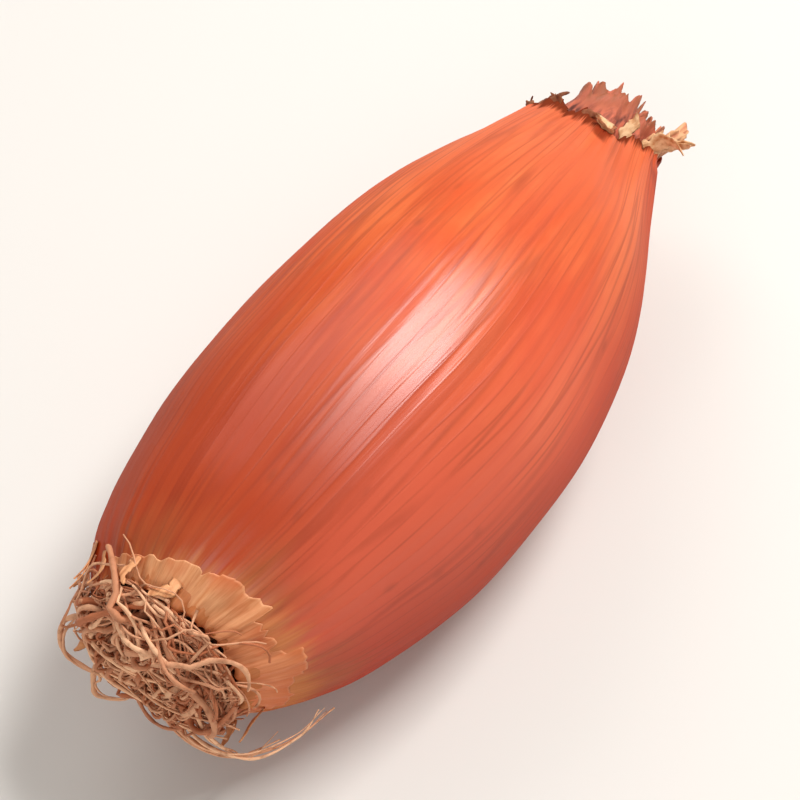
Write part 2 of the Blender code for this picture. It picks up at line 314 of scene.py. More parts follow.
skinLook = {
    "base": "#d14a12",
    # laid over the base in this order
    # low is painted shade: darker towards the root end, away from the key light
    "tones": {"light": "#de6933", "rust": "#ab350b", "low": "#a3340a", "high": "#e1744e", "pink": "#de6449",
              # deep is painted shade: a darker red on the lower flank and underside, turned away from the
              # lamps
              "deep": "#b23008", "vein": "#7c2208", "spot": "#6a2a12", "tan": "#a05a2c", "hem": "#dc9560",
              # inside is painted shade, laid in the neck's cup and the dish round the root plate
              "rim": "#64230e", "inside": "#6a2c14"},
    "hemShade": "#bd7340",
    # mm across and along the fibres, then mm that the blotches and the fibres are bent by
    "sizes": {"fine": (0.3125, 20.0), "grain": (1.1, 20.0), "vein": (1.6, 55.0), "mottle": (7.0, 15.0),
              "spot": (4.545, 8.333)},
    "bend": 20.0, "blotchesBend": 5.0, "fibresBend": 1.2,
    # the theta, in degrees, that each side is turned to; shade is painted on the deep side, the one away from
    # the lamps
    "sides": {"pink": 152, "deep": 205, "pale": 165, "brown": 40},
    # mm that the pale hem and the brown rim gain on their own sides, and mm that both are ragged by
    "paleReach": -3.2, "brownReach": 1.3, "ragged": 7.0,
    # where each share starts, where it is full and what it is then; of the soft ones, all but the last three
    # are in mm from the hem
    # low: painted shade, darker towards the root end
    "softZones": {"low": (46.0, 14.0, 0.85), "high": (44.0, 72.0, 0.55), "pinkEnd": (62.0, 44.0, 1.0),
                  "tan": (8.5, 2.0, 0.55), "hem": (3.2, -0.6, 0.72), "rim": (78.2, 79.8, 0.9),
                  # deep: painted shade, strongest on the side turned away from the lamps
                  "pink": (0.60, 1.0, 0.60), "deep": (0.34, 0.94, 0.92), "veinLine": (0.11, 0.0, 1.0)},
    "plainZones": {"light": (0.35, 0.68, 1.0), "rust": (0.44, 0.72, 0.75), "vein": (0.36, 0.62, 0.36),
                   "spot": (0.13, 0.04, 0.22)},
    "grainSpan": (0.3, 0.7), "roughLow": 0.50, "roughHigh": 0.62, "roughPaper": 0.72, "shine": 0.0,
    "wax": 0.23, "wornWax": 0.03, "waxRough": 0.35, "waxIndex": 2.6,
    "relief": 0.00022, "reliefStrength": 0.22, "veinHeight": 0.3, "fineHeight": 0.35,
}


# Dry papery shallot skin, cured in air: thin satin layer over flesh, so the light breaks along fine lengthwise
# veins, the colour drifts from copper to rust and pink, and it turns to dull pale paper at the torn edges.
# Shade is painted into it as well: towards the root end, on the side turned away from the lamps, and in the
# neck's cup and the dish round the root plate.
def papershellSkin():
    look = skinLook
    material, tree, shader = newMaterial("air_dried_papery_skin")
    wrap = addNode(tree, "Attribute", attribute_name="skinWrap", out="Vector")  # mm
    # share of painted shade, in the neck's cup and the dish round the root plate
    inside = addNode(tree, "Attribute", attribute_name="insideShadeShare", out="Fac")
    height = addNode(tree, "SeparateXYZ", {0: wrap}, out="Z")

    # one slow noise bends the blotches a lot and the fibres a little
    bend = addNode(tree, "TexNoise", {"Vector": wrap, "Scale": 1 / look["bend"], "Detail": 0.0}, out="Color")
    bent = []
    for reach in (look["blotchesBend"], look["fibresBend"]):
        step = addNode(tree, "VectorMath", {0: bend, "Scale": reach}, operation="SCALE")
        bent.append(addNode(tree, "VectorMath", {0: wrap, 1: step}))
    blotches, fibres = bent

    grid = {}
    for name, (across, along) in look["sizes"].items():
        spot = blotches if name in ("mottle", "spot") else fibres
        grid[name] = addNode(tree, "Mapping", {"Vector": spot, "Scale": (1 / across, 1 / across, 1 / along)})
    noise = {}
    for name, detail, roughness in (("fine", 3.0, 0.5), ("grain", 5.0, 0.6), ("mottle", 4.0, 0.55)):
        noise[name] = addNode(tree, "TexNoise", {"Vector": grid[name], "Scale": 1.0, "Detail": detail,
                                                 "Roughness": roughness})
    veinCells = addNode(tree, "TexVoronoi", {"Vector": grid["vein"], "Scale": 1.0, "Randomness": 0.95},
                        feature="DISTANCE_TO_EDGE", out="Distance")
    spotCells = addNode(tree, "TexVoronoi", {"Vector": grid["spot"], "Scale": 1.0}, out="Distance")

    facing = {}  # from 1 on the middle of a side to -1 opposite
    for side, spot in (("pink", blotches), ("deep", blotches), ("pale", wrap), ("brown", wrap)):
        facing[side] = addNode(tree, "VectorMath", {0: spot, 1: wayTo(look["sides"][side])},
                               operation="DOT_PRODUCT", out="Value")
    # mm from the hem, ragged with the grain, then moved down on the pale side and up on the brown one
    ragged = addNode(tree, "Math", {0: noise["grain"], 1: look["ragged"], 2: -look["ragged"] / 2},
                     operation="MULTIPLY_ADD")
    ragged = addNode(tree, "Math", {0: height, 1: ragged})
    hemAlong, rimAlong = [addNode(tree, "Math", {0: facing[side], 1: look[side + "Reach"], 2: ragged},
                                  operation="MULTIPLY_ADD") for side in ("pale", "brown")]

    measured = {"low": height, "high": height, "pinkEnd": height, "tan": hemAlong, "hem": hemAlong,
                "rim": rimAlong, "pink": facing["pink"], "deep": facing["deep"], "veinLine": veinCells,
                "light": noise["mottle"], "rust": noise["grain"], "vein": noise["mottle"], "spot": spotCells}
    share = {"inside": inside}
    for ease, zones in (("SMOOTHSTEP", look["softZones"]), ("LINEAR", look["plainZones"])):
        for name, (start, full, most) in zones.items():
            reach = {"Value": measured[name], "From Min": start, "From Max": full, "To Max": most}
            share[name] = addNode(tree, "MapRange", reach, interpolation_type=ease)
    # the veins come and go, the pink stops short of the neck, and the tan keeps to the light blotches
    for name, other in (("vein", "veinLine"), ("pink", "pinkEnd"), ("tan", "light")):
        share[name] = addNode(tree, "Math", {0: share[name], 1: share[other]}, operation="MULTIPLY")

    colour = linear(look["base"])
    tones = {name: linear(tone) for name, tone in look["tones"].items()}
    streaked = {0: noise["fine"], 6: linear(look["hemShade"]), 7: tones["hem"]}
    tones["hem"] = addNode(tree, "Mix", streaked, data_type="RGBA", out=2)
    for name, tone in tones.items():
        colour = addNode(tree, "Mix", {0: share[name], 6: colour, 7: tone}, data_type="RGBA", out=2)
    tree.links.new(colour, shader.inputs["Base Color"])

    # satin where it is tight, dull paper at the ends
    start, full = look["grainSpan"]
    satin = addNode(tree, "MapRange", {"Value": noise["grain"], "From Min": start, "From Max": full,
                                       "To Min": look["roughLow"], "To Max": look["roughHigh"]})
    dull = share["hem"]
    for name in ("inside", "rim"):
        dull = addNode(tree, "Math", {0: dull, 1: share[name]}, operation="MAXIMUM")
    rough = addNode(tree, "Mix", {0: dull, 2: satin, 3: look["roughPaper"]})
    tree.links.new(rough, shader.inputs["Roughness"])
    shader.inputs["Specular IOR Level"].default_value = look["shine"]
    # a film of wax, broken at the torn ends: an even gloss that stays weak along the flanks
    film = addNode(tree, "Mix", {0: dull, 2: look["wax"], 3: look["wornWax"]})
    tree.links.new(film, shader.inputs["Coat Weight"])
    shader.inputs["Coat Roughness"].default_value = look["waxRough"]
    shader.inputs["Coat IOR"].default_value = look["waxIndex"]

    raised = noise["grain"]
    for part, weight in ((share["veinLine"], look["veinHeight"]), (noise["fine"], look["fineHeight"])):
        raised = addNode(tree, "Math", {0: part, 1: weight, 2: raised}, operation="MULTIPLY_ADD")
    bump = addNode(tree, "Bump", {"Height": raised, "Strength": look["reliefStrength"],
                                  "Distance": look["relief"]})
    for normal in ("Normal", "Coat Normal"):
        tree.links.new(bump, shader.inputs[normal])
    return material


rootLook = {"straw": "#f8c398", "tan": "#ad5c32", "brown": "#8a4721", "dark": "#58200c", "roughness": 0.70,
            "patch": 0.001111, "relief": 0.0001, "reliefStrength": 0.5,
            # where the brown of the patches and the painted shade near the plate start, where full, and how
            # strong
            "brownZone": (0.52, 0.72, 0.6), "plateShadeZone": (0.30, 0.05, 0.85)}


# Dried roots: dull straw fibre that shrank as it dried, uneven from root to root, with painted shade
# darkening it towards the plate.
def driedRootFibre():
    look = rootLook
    material, tree, shader = newMaterial("air_dried_root_fibre")
    straw = addNode(tree, "Attribute", attribute_name="rootTone", out="Fac")
    grown = addNode(tree, "Attribute", attribute_name="rootGrown", out="Fac")
    spot = addNode(tree, "TexCoord", out="Object")
    patch = addNode(tree, "TexNoise", {"Vector": spot, "Scale": 1 / look["patch"], "Detail": 3.0})
    # the dark near the plate is painted shade, deepest where the roots crowd together
    brown, dark = [addNode(tree, "MapRange", {"Value": value, "From Min": start, "From Max": full,
                                              "To Max": most})
                   for value, (start, full, most) in ((patch, look["brownZone"]), (grown, look["plateShadeZone"]))]
    colour = linear(look["tan"])
    for share, tone in ((straw, "straw"), (brown, "brown"), (dark, "dark")):
        colour = addNode(tree, "Mix", {0: share, 6: colour, 7: linear(look[tone])}, data_type="RGBA", out=2)
    dressPaper(tree, shader, look, colour, patch)
    return material


corkLook = {"dark": "#3c1f10", "pale": "#7d4c2c", "grain": 0.0008, "crumb": 0.0016, "roughness": 0.9,
            "paleZone": (0.35, 0.65), "relief": 0.0003, "reliefStrength": 0.8}


# Cork of the root plate: crumbly dark brown, with grains just under a millimetre across.
def rootPlateCork():
    look = corkLook
    material, tree, shader = newMaterial("dried_root_plate_cork")
    spot = addNode(tree, "TexCoord", out="Object")
    grains = addNode(tree, "TexVoronoi", {"Vector": spot, "Scale": 1 / look["grain"]}, out="Distance")
    crumbs = addNode(tree, "TexNoise", {"Vector": spot, "Scale": 1 / look["crumb"], "Detail": 4.0})
    start, full = look["paleZone"]
    pale = addNode(tree, "MapRange", {"Value": crumbs, "From Min": start, "From Max": full})
    colour = addNode(tree, "Mix", {0: pale, 6: linear(look["dark"]), 7: linear(look["pale"])},
                     data_type="RGBA", out=2)
    dressPaper(tree, shader, look, colour, grains)
    return material


paperLook = {
    # each paper's tone towards the torn edge, then over its body
    "air_dried_neck_scale": ("#94502e", "#d06a4c"), "bleached_skin_shred": ("#eec090", "#c57f48"),
    "bleached_hem_shred": ("#e2a06c", "#b76c3c"), "browned_rim_paper": ("#9a5a34", "#7a3a1c"),
    "bleached_neck_scale": ("#ecb583", "#c46a45"),
    "dark": "#571f10", "fibre": (0.003333, 0.0006667, 0.0006667), "fibreZone": (0.32, 0.60),
    "roughness": 0.62, "relief": 0.0002, "reliefStrength": 0.5,
}


# Dried scale or shed skin: brittle paper of two tones, one towards its torn edge, and dark between its fibres.
def driedPaper(name):
    look = paperLook
    material, tree, shader = newMaterial(name)
    edgeTone, bodyTone = [linear(tone) for tone in look[name]]
    edge = addNode(tree, "Attribute", attribute_name="edgeShare", out="Fac")
    spot = addNode(tree, "TexCoord", out="Object")
    grid = addNode(tree, "Mapping", {"Vector": spot, "Scale": tuple(1 / size for size in look["fibre"])})
    noise = addNode(tree, "TexNoise", {"Vector": grid, "Scale": 1.0, "Detail": 4.0})
    start, full = look["fibreZone"]
    fibre = addNode(tree, "MapRange", {"Value": noise, "From Min": start, "From Max": full})
    body, paper = [addNode(tree, "Mix", {0: fibre, 6: between, 7: upon}, data_type="RGBA", out=2)
                   for between, upon in ((linear(look["dark"]), bodyTone), (bodyTone, edgeTone))]
    colour = addNode(tree, "Mix", {0: edge, 6: body, 7: paper}, data_type="RGBA", out=2)
    dressPaper(tree, shader, look, colour, fibre)
    return material


hemLook = {
    "base": "#cd7f4a",
    # laid over the base in this order
    # edge is a painted highlight: a thin pale line where the torn edge catches the light
    "tones": {"pale": "#e9a572", "stain": "#a3602f", "red": "#d9713e", "under": "#cc6632", "edge": "#efbd90"},
    # where each share starts, where it is full and what it is then
    "zones": {"pale": (0.35, 0.62, 1.0), "stain": (0.50, 0.68, 0.55), "red": (0.1, 1.0, 0.75),
              "thin": (0.44, 0.56, 1.0), "under": (0.45, 0.95, 0.85), "edge": (0.93, 1.0, 0.25)},
    "fibre": (0.625, 0.625, 4.0), "patch": 4.545, "thinPatch": 7.692,  # mm
    "redSide": 205, "roughness": 0.6, "relief": 0.0003, "reliefStrength": 0.4,
}


# The outermost skin's last torn strip: sun-bleached papery tan, streaked along its fibres, with a painted
# highlight as a thin pale line along the torn edge, and in places so thin towards it that the skin below shows
# through.
def bleachedHemPaper():
    look = hemLook
    material, tree, shader = newMaterial("bleached_hem_paper")
    wrap = addNode(tree, "Attribute", attribute_name="skinWrap", out="Vector")  # mm
    edge = addNode(tree, "Attribute", attribute_name="edgeShare", out="Fac")
    grid = addNode(tree, "Mapping", {"Vector": wrap, "Scale": tuple(1 / size for size in look["fibre"])})
    fibre = addNode(tree, "TexNoise", {"Vector": grid, "Scale": 1.0, "Detail": 4.0, "Roughness": 0.6})
    patch, thin = [addNode(tree, "TexNoise", {"Vector": wrap, "Scale": 1 / size, "Detail": detail})
                   for size, detail in ((look["patch"], 2.0), (look["thinPatch"], 3.0))]
    redder = addNode(tree, "VectorMath", {0: wrap, 1: wayTo(look["redSide"])}, operation="DOT_PRODUCT",
                     out="Value")
    measured = {"pale": fibre, "stain": patch, "red": redder, "thin": thin, "under": edge, "edge": edge}
    share = {}
    for name, (start, full, most) in look["zones"].items():
        share[name] = addNode(tree, "MapRange", {"Value": measured[name], "From Min": start, "From Max": full,
                                                 "To Max": most})
    share["under"] = addNode(tree, "Math", {0: share["under"], 1: share["thin"]}, operation="MULTIPLY")
    colour = linear(look["base"])
    for name, tone in look["tones"].items():
        colour = addNode(tree, "Mix", {0: share[name], 6: colour, 7: linear(tone)}, data_type="RGBA", out=2)
    dressPaper(tree, shader, look, colour, fibre)
    return material


skinMaterial = papershellSkin()
rootMaterial = driedRootFibre()
corkMaterial = rootPlateCork()
scaleMaterial = driedPaper("air_dried_neck_scale")
shredMaterial = driedPaper("bleached_skin_shred")
hemShredMaterial = driedPaper("bleached_hem_shred")
rimMaterial = driedPaper("browned_rim_paper")
hemMaterial = bleachedHemPaper()
flareMaterial = driedPaper("bleached_neck_scale")
print("materials made")


skinGrid = {"around": 400, "along": 196}


# a profile turned round the axis: from the floor of the neck's cup over its rim, down the outside, over the
# hem and into the dish
def makeBulbSkin():
    form = bulbForm
    rim = float(outlineRadius(length))
    hem = float(outlineRadius(0.0))
    inner = rim - form["skinWall"]
    cup = form["cupDepth"]
    cupX = length + np.array([-cup, -cup, -0.7 * cup, -0.4 * cup, -0.0006, 0.0001, 0.0003])
    cupR = [inner * 0.5, inner, inner, inner + 0.0002, inner + 0.00045, inner + 0.00055, rim - 0.0001]
    cupTear = [0, 0, 0, 0.2, 0.8, 1.0, 1.0]
    share = np.linspace(1, 0, skinGrid["along"])
    outX = length * (share - 0.09 * np.sin(2 * math.pi * share))
    outTear = np.clip((outX / length - 0.975) / 0.025, 0, 1) * form["rimTear"]
    outTear += np.clip(1 - outX / (0.012 * length), 0, 1) * form["hemTear"] * 0.8
    outPhase = np.where(outX > 0.5 * length, 1.0, 2.0)
    deep, dish = form["dishDepth"], form["dishRadius"]
    dishX = [-0.0004, -0.0006, -0.0004, 0.0002, 0.0010, deep, deep, deep]
    dishR = [hem - 0.00025, hem - 0.0006, hem - 0.0010, hem - 0.0015,
             dish, dish * 0.96, dish * 0.6, dish * 0.25]
    dishTear = [1.0, 1.0, 0.9, 0.5, 0, 0, 0, 0]
    rowX = np.concatenate([cupX, outX, dishX])
    rowR = np.concatenate([cupR, outlineRadius(outX), dishR])
    rowTear = np.concatenate([np.array(cupTear) * form["rimTear"], outTear,
                              np.array(dishTear) * form["hemTear"]])
    rowPhase = np.concatenate([np.full(len(cupX), 1.0), outPhase, np.full(len(dishX), 2.0)])
    # 1 where shade is painted: the floor of the neck's cup and the dish round the root plate
    insideShadeRow = np.concatenate([[1, 1, 1, 0.9, 0.6, 0.2, 0], 0 * outX, [0, 0, 0.1, 0.6, 1, 1, 1, 1]])
    points, x, theta = turned(rowX, rowR, rowTear, rowPhase, fullTurn(skinGrid["around"]), relief=1.0)
    rows, columns = x.shape
    vertices = np.concatenate([points.reshape(-1, 3), [points[0].mean(axis=0), points[-1].mean(axis=0)]])
    wrap = np.stack([wrapRadius * np.cos(theta), wrapRadius * np.sin(theta), 1000 * x], axis=-1)
    wrap = np.concatenate([wrap.reshape(-1, 3), [[0, 0, 1000 * cupX[0]], [0, 0, 1000 * dishX[-1]]]])
    inside = np.concatenate([np.repeat(insideShadeRow, columns), [1, 1]])
    piece = addPiece("bulbSkin", vertices, closedRing(rows, columns), skinMaterial,
                     {"skinWrap": wrap, "insideShadeShare": inside})
    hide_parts("bulb")


makeBulbSkin()


rootForm = {
    "plateRadius": 0.0064, "clear": 0.0009, "points": 22, "toneSeed": 5,
    # each kind of root: how many, seed of the paths, half width, sides, spread of the widths, palest tone
    "kinds": {"thick": (60, 11, 0.00039, 8, 0.25, 1.0), "fine": (220, 29, 0.00019, 6, 0.45, 0.7),
              "edge": (190, 17, 0.00024, 6, 0.5, 0.9)},
}


# x of the bulb's root end at a distance from the axis: the hem's crest inside, the outline beyond it
def baseDepth(fromAxis):
    x = np.linspace(0, 0.3 * length, 120)
    beyond = np.interp(fromAxis, outlineRadius(x), x)
    return np.where(fromAxis < outlineRadius(0.0), -0.0006 - bulbForm["hemTear"], beyond)


# middle line of a root: it starts on a spiral on the plate, grows out over the hem and sweeps round the foot
# of the bulb, while a wave of its own curls it out and in
def rootPath(number, total, draw, fine):
    startAngle = number * math.radians(137.5)
    startRadius = 0.85 * rootForm["plateRadius"] * math.sqrt((number + 0.5) / total)
    if number % 3 == 0:
        reach = draw.uniform(-0.0020, 0.0020)
    else:
        reach = draw.uniform(0.0025, 0.0080)
    lift = draw.uniform(0.0004, 0.0026)
    sweep = draw.uniform(0.5, 1.9) * draw.choice((-1, 1))
    curl = draw.uniform(0.0004, 0.0010)
    turns = draw.uniform(4.0, 9.0)
    turnStart = draw.uniform(0, 2 * math.pi)
    if fine:
        turns *= 1.6
        reach *= 0.9
    t = np.linspace(0, 1, rootForm["points"])
    grown = np.clip(3 * t, 0, 1)
    out = startRadius + reach * (1 - (1 - t) ** 1.6) + curl * grown * np.cos(turns * t + turnStart)
    out = np.maximum(out, 0.0005)
    angle = startAngle + sweep * t**1.2
    depth = lift * np.sin(math.pi * t**0.8) + curl * (1 + np.sin(turns * t + turnStart))
    if fine:
        depth = depth * 0.85 - 0.0003
    outside = baseDepth(out) - rootForm["clear"] - depth
    within = 0.4 * bulbForm["dishDepth"]
    x = within + (outside - within) * grown
    return place(x, out * np.cos(angle), out * np.sin(angle))


# middle line of a root from the plate's rim: a quarter wave up out of the dish, then bent sideways round
# the hem
def edgeRootPath(number, draw):
    t = np.linspace(0, 1, rootForm["points"])
    start = number * math.radians(137.5)
    reach = draw.uniform(0.0014, 0.0046)
    sweep = draw.uniform(0.25, 1.1) * draw.choice((-1, 1))
    wave = draw.uniform(0.0001, 0.0004) * np.sin(draw.uniform(4, 10) * t + draw.uniform(0, 6))
    out = 0.94 * rootForm["plateRadius"] + reach * (1 - (1 - t) ** 2) + wave
    x = 0.0014 - (0.0028 + draw.uniform(0, 0.0008)) * np.sin(math.pi / 2 * np.clip(1.8 * t, 0, 1)) + wave
    angle = start + sweep * t**1.4
    return place(x, out * np.cos(angle), out * np.sin(angle))


def makeRoots():
    look = np.random.default_rng(rootForm["toneSeed"])
    t = np.linspace(0, 1, rootForm["points"])
    vertices, faces, tones, grown = [], [], [], []
    for kind, (count, seed, size, sides, spread, palest) in rootForm["kinds"].items():
        draw = np.random.default_rng(seed)
        if kind == "edge":
            paths = np.array([edgeRootPath(number, draw) for number in range(count)])
        else:
            paths = np.array([rootPath(number, count, draw, kind == "fine") for number in range(count)])
        width = size * (1 + spread * look.uniform(-1, 1, count))[:, None] * (1 - 0.4 * t[None, :])
        width = width * (1 + 0.14 * np.sin(look.uniform(0, 6.3, count)[:, None] + 34 * t[None, :]))
        flat = look.uniform(0.55, 1.0, count)[:, None]
        made, madeFaces = tubes(paths, width, width * flat, sides, first=sum(len(part) for part in vertices))
        vertices.append(made)
        faces += madeFaces
        tones.append(np.repeat(look.uniform(0, palest, count), len(made) // count))
        grown.append(np.tile(np.concatenate([np.repeat(t, sides), [0.0, 1.0]]), count))
    piece = addPiece("dryRoots", np.concatenate(vertices), faces, rootMaterial,
                     {"rootTone": np.concatenate(tones), "rootGrown": np.concatenate(grown)})
    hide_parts("root_tuft")


makeRoots()


strayForm = {
    "points": 40, "sides": 10, "flat": 0.72, "seed": 8, "turn": math.radians(111),
    # each long root: half thickness in mm, then points as (x, towards the turn, a quarter turn on) in mm
    "roots": (
        (0.36, ((-1.0, -2.6, 1.5), (-3.8, -6.8, 5.9), (-3.4, -6.1, 12.0),
                (0.5, -2.4, 15.3), (5.2, 0.6, 16.2))),
        (0.30, ((-1.0, -1.9, 2.3), (-3.9, -5.4, 7.8), (-3.2, -3.9, 13.6),
                (1.0, -0.7, 15.7), (3.4, 2.2, 15.2))),
        (0.26, ((-1.5, 0.5, 3.0), (-4.1, -2.0, 8.5), (-2.6, -6.5, 13.0),
                (-0.4, -8.6, 13.4), (2.0, -7.2, 14.6))),
        (0.38, ((-2.5, -3.0, -7.8), (-3.6, -6.6, -9.3), (-4.4, -10.8, -6.7),
                (-4.0, -9.6, -2.9), (-3.4, -6.0, -2.0))),
        (0.36, ((-3.0, -7.5, -4.5), (-4.2, -11.2, -3.6), (-4.8, -12.4, -2.0),
                (-4.4, -11.0, 0.2), (-3.8, -8.0, 0.9))),
        (0.44, ((-2.2, -4.6, -1.2), (-4.2, -2.0, -0.8), (-4.6, 1.5, -0.2),
                (-3.5, 5.4, 0.4), (-1.8, 8.4, 1.2))),
        (0.38, ((-3.0, 2.6, -1.6), (-3.9, 4.6, -0.6), (-4.0, 6.0, 1.6),
                (-3.4, 6.2, 4.2), (-2.8, 5.6, 7.4))),
        (0.36, ((-2.4, -5.5, -8.2), (-4.3, -5.6, -4.6), (-4.5, -4.4, 0.8),
                (-4.3, -2.6, 5.6), (-3.4, 1.7, 11.1))),
        (0.34, ((-2.6, -7.3, -6.4), (-4.5, -7.2, -3.0), (-4.9, -6.0, 1.4),
                (-4.5, -4.6, 6.4), (-3.2, -2.4, 10.8))),
        (0.32, ((-2.0, -1.6, -8.8), (-4.4, -2.6, -5.4), (-4.8, -2.2, -1.2),
                (-4.0, 0.6, 2.6), (-2.6, 3.8, 4.0))),
        (0.30, ((-1.2, 3.4, -7.8), (-3.9, 2.2, -4.6), (-4.6, 0.2, -1.6),
                (-4.4, -2.2, 2.4), (-3.8, -3.0, 6.6))),
        (0.28, ((-2.0, 6.6, -4.6), (-3.8, 4.2, -3.4), (-4.6, 2.0, 1.0),
                (-3.8, 2.6, 5.2), (-1.6, 4.4, 8.8))),
    ),
}


# smooth curves through the points with a small wave on them, each root with a thinner one that keeps near it
def makeStrayRoots():
    form = strayForm
    t = np.linspace(0, 1, form["points"])
    look = np.random.default_rng(form["seed"])
    cosTurn, sinTurn = math.cos(form["turn"]), math.sin(form["turn"])
    paths, widths = [], []
    for half, points in form["roots"]:
        knots = np.linspace(0, 1, len(points))
        for copy in range(2):
            shift = copy * look.uniform(-0.9, 0.9, (len(points), 3)) * (0.5, 1.0, 1.0)
            x, towards, side = [smoothCurve(np.stack([knots, column], axis=1), np.clip(t, 0, 0.999)) / 1000
                                for column in (np.array(points) + shift).T]
            wave = 0.00018 * np.sin(t * look.uniform(9, 16) + look.uniform(0, 6))
            y = (towards + wave) * cosTurn - side * sinTurn
            z = (towards + wave) * sinTurn + side * cosTurn
            paths.append(place(x + 0.7 * wave, y, z))
            taper = np.clip(1.25 - t, 0.30, 1) * np.clip(0.45 + 4 * t, 0, 1)
            knobs = 0.13 * np.sin(29 * t + look.uniform(0, 6)) + 0.07 * np.sin(61 * t + look.uniform(0, 6))
            widths.append(half / 1000 * (1 - 0.45 * copy) * taper * (1 + knobs))
    across = np.array(widths)
    vertices, faces = tubes(np.array(paths), across, across * form["flat"], form["sides"])
    tone = np.repeat(look.uniform(0.55, 1.0, len(paths)), len(vertices) // len(paths))
    grown = np.tile(np.concatenate([np.repeat(0.15 + 0.85 * t, form["sides"]), [0.15, 1.0]]), len(paths))
    addPiece("strayRoots", vertices, faces, rootMaterial, {"rootTone": tone, "rootGrown": grown})


makeStrayRoots()


plateForm = {
    "dome": 0.0020, "gap": 0.0004, "rows": 46, "around": 120,
    # share of the way along the profile, then its radius as a share of the plate's
    "widths": ((0.0, 0.0), (0.3, 0.97), (0.42, 1.0), (0.55, 0.93), (0.7, 0.68), (0.85, 0.38), (1.0, 0.0)),
    # share of the way along the profile, then how far it has come forward as a share of the dome
    "heights": ((0.55, -0.1), (0.7, 0.45), (0.85, 0.8), (1.0, 1.0)),
}


# the corky plate: a low dome turned round the axis in the dish, its front crumbled by crossing waves
def makeRootPlate():
    form = plateForm
    back = bulbForm["dishDepth"] - form["gap"]
    share = np.linspace(0.04, 0.985, form["rows"])[:, None]
    angles = fullTurn(form["around"])[None, :]
    heights = [(0.0, back), (0.3, back), (0.42, back * 0.5)]
    heights += [(along, -form["dome"] * forward) for along, forward in form["heights"]]
    out = rootForm["plateRadius"] * np.interp(share, *np.array(form["widths"]).T) + 0 * angles
    x = np.interp(share, *np.array(heights).T) + 0 * angles
    crumble = 0.00022 * np.sin(17 * angles + 54 * share) * np.sin(69 * share + 3 * angles)
    crumble += 0.00016 * np.sin(31 * angles - 40 * share) * np.cos(11 * angles + 60 * share)
    points = place(x + crumble * (share > 0.5), out * np.cos(angles), out * np.sin(angles))
    middles = place(np.array([back, -form["dome"]]), np.zeros(2), np.zeros(2))
    vertices = np.concatenate([points.reshape(-1, 3), middles])
    addPiece("rootPlate", vertices, closedRing(*x.shape), corkMaterial)


makeRootPlate()


scaleForm = {
    # each sleeve: share of the cup's radius, height of its edge past the rim, phase, share of ragged height
    "sleeves": ((0.92, 0.0022, 4.1, 1.1), (0.72, 0.0034, 2.2, 1.2), (0.50, 0.0038, 0.9, 1.1),
                (0.27, 0.0024, 3.3, 0.9)),
    "wall": 0.00020, "tear": 0.0013, "rows": 20, "around": 360,
}


# thin sleeves one inside the other, each closed over its ragged edge, with a plug of crumbled scale below
def makeNeckScales():
    outer = float(outlineRadius(length)) - bulbForm["skinWall"] - 0.0004
    floor = length - bulbForm["cupDepth"] + 0.0004
    angles = fullTurn(scaleForm["around"])
    columns = len(angles)
    vertices, faces, edges = [], [], []
    for share, top, phase, ragged in scaleForm["sleeves"]:
        climb = np.linspace(0, 1, scaleForm["rows"])
        rowX = floor + (length + top - floor) * climb
        allX = np.concatenate([rowX, [length + top + 0.0001], rowX[::-1]])
        allR = outer * share - scaleForm["wall"] * np.repeat([1, 0.5, 0], (len(climb), 1, len(climb)))
        allClimb = np.concatenate([climb, [1.0], climb[::-1]])
        high = allClimb[:, None]
        # squeezed a little out of round, with the torn edge curling out in places
        wobble = high * 0.05 * np.cos(2 * angles + phase) + 0.04 * high * np.cos(5 * angles - 2 * phase)
        wobble = wobble + 0.11 * np.clip((high - 0.6) / 0.4, 0, 1) ** 2 * np.sin(3 * angles + 2.6 * phase)
        tear = scaleForm["tear"] * ragged
        points = turned(allX, allR, allClimb**2 * tear, np.full(len(allX), phase), angles,
                        nickShare=0.15, slanted=1 - 0.8 * allClimb, wobble=wobble)[0]
        rips = 0.75 * strips(angles, int(10 * share), 17) + 0.30 * ripped(angles, int(40 * share), 60)
        points[..., 0] += high**2 * tear * rips
        first = sum(len(part) for part in vertices)
        vertices.append(points.reshape(-1, 3))
        faces += ringQuads(len(allX), columns, first, closeRows=True)
        edges.append(np.repeat(np.clip((allClimb - 0.62) / 0.38, 0, 1), columns))
    plugX = floor + np.array([0.0018, 0.0013, 0.0016, 0.0012, 0.0, 0.0])
    plugR = outer * np.array([0.18, 0.42, 0.70, 0.93, 0.93, 0.40])
    rows = len(plugX)
    points = turned(plugX, plugR, np.full(rows, 0.0001), np.full(rows, 0.3), angles)[0]
    first = sum(len(part) for part in vertices)
    vertices.append(points.reshape(-1, 3))
    vertices.append(np.array([points[0].mean(axis=0), points[-1].mean(axis=0)]))
    faces += closedRing(rows, columns, first)
    edges.append(np.zeros(rows * columns + 2))
    piece = addPiece("driedNeckScales", np.concatenate(vertices), faces, scaleMaterial,
                     {"edgeShare": np.concatenate(edges)})
    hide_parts("neck_scales")


makeNeckScales()


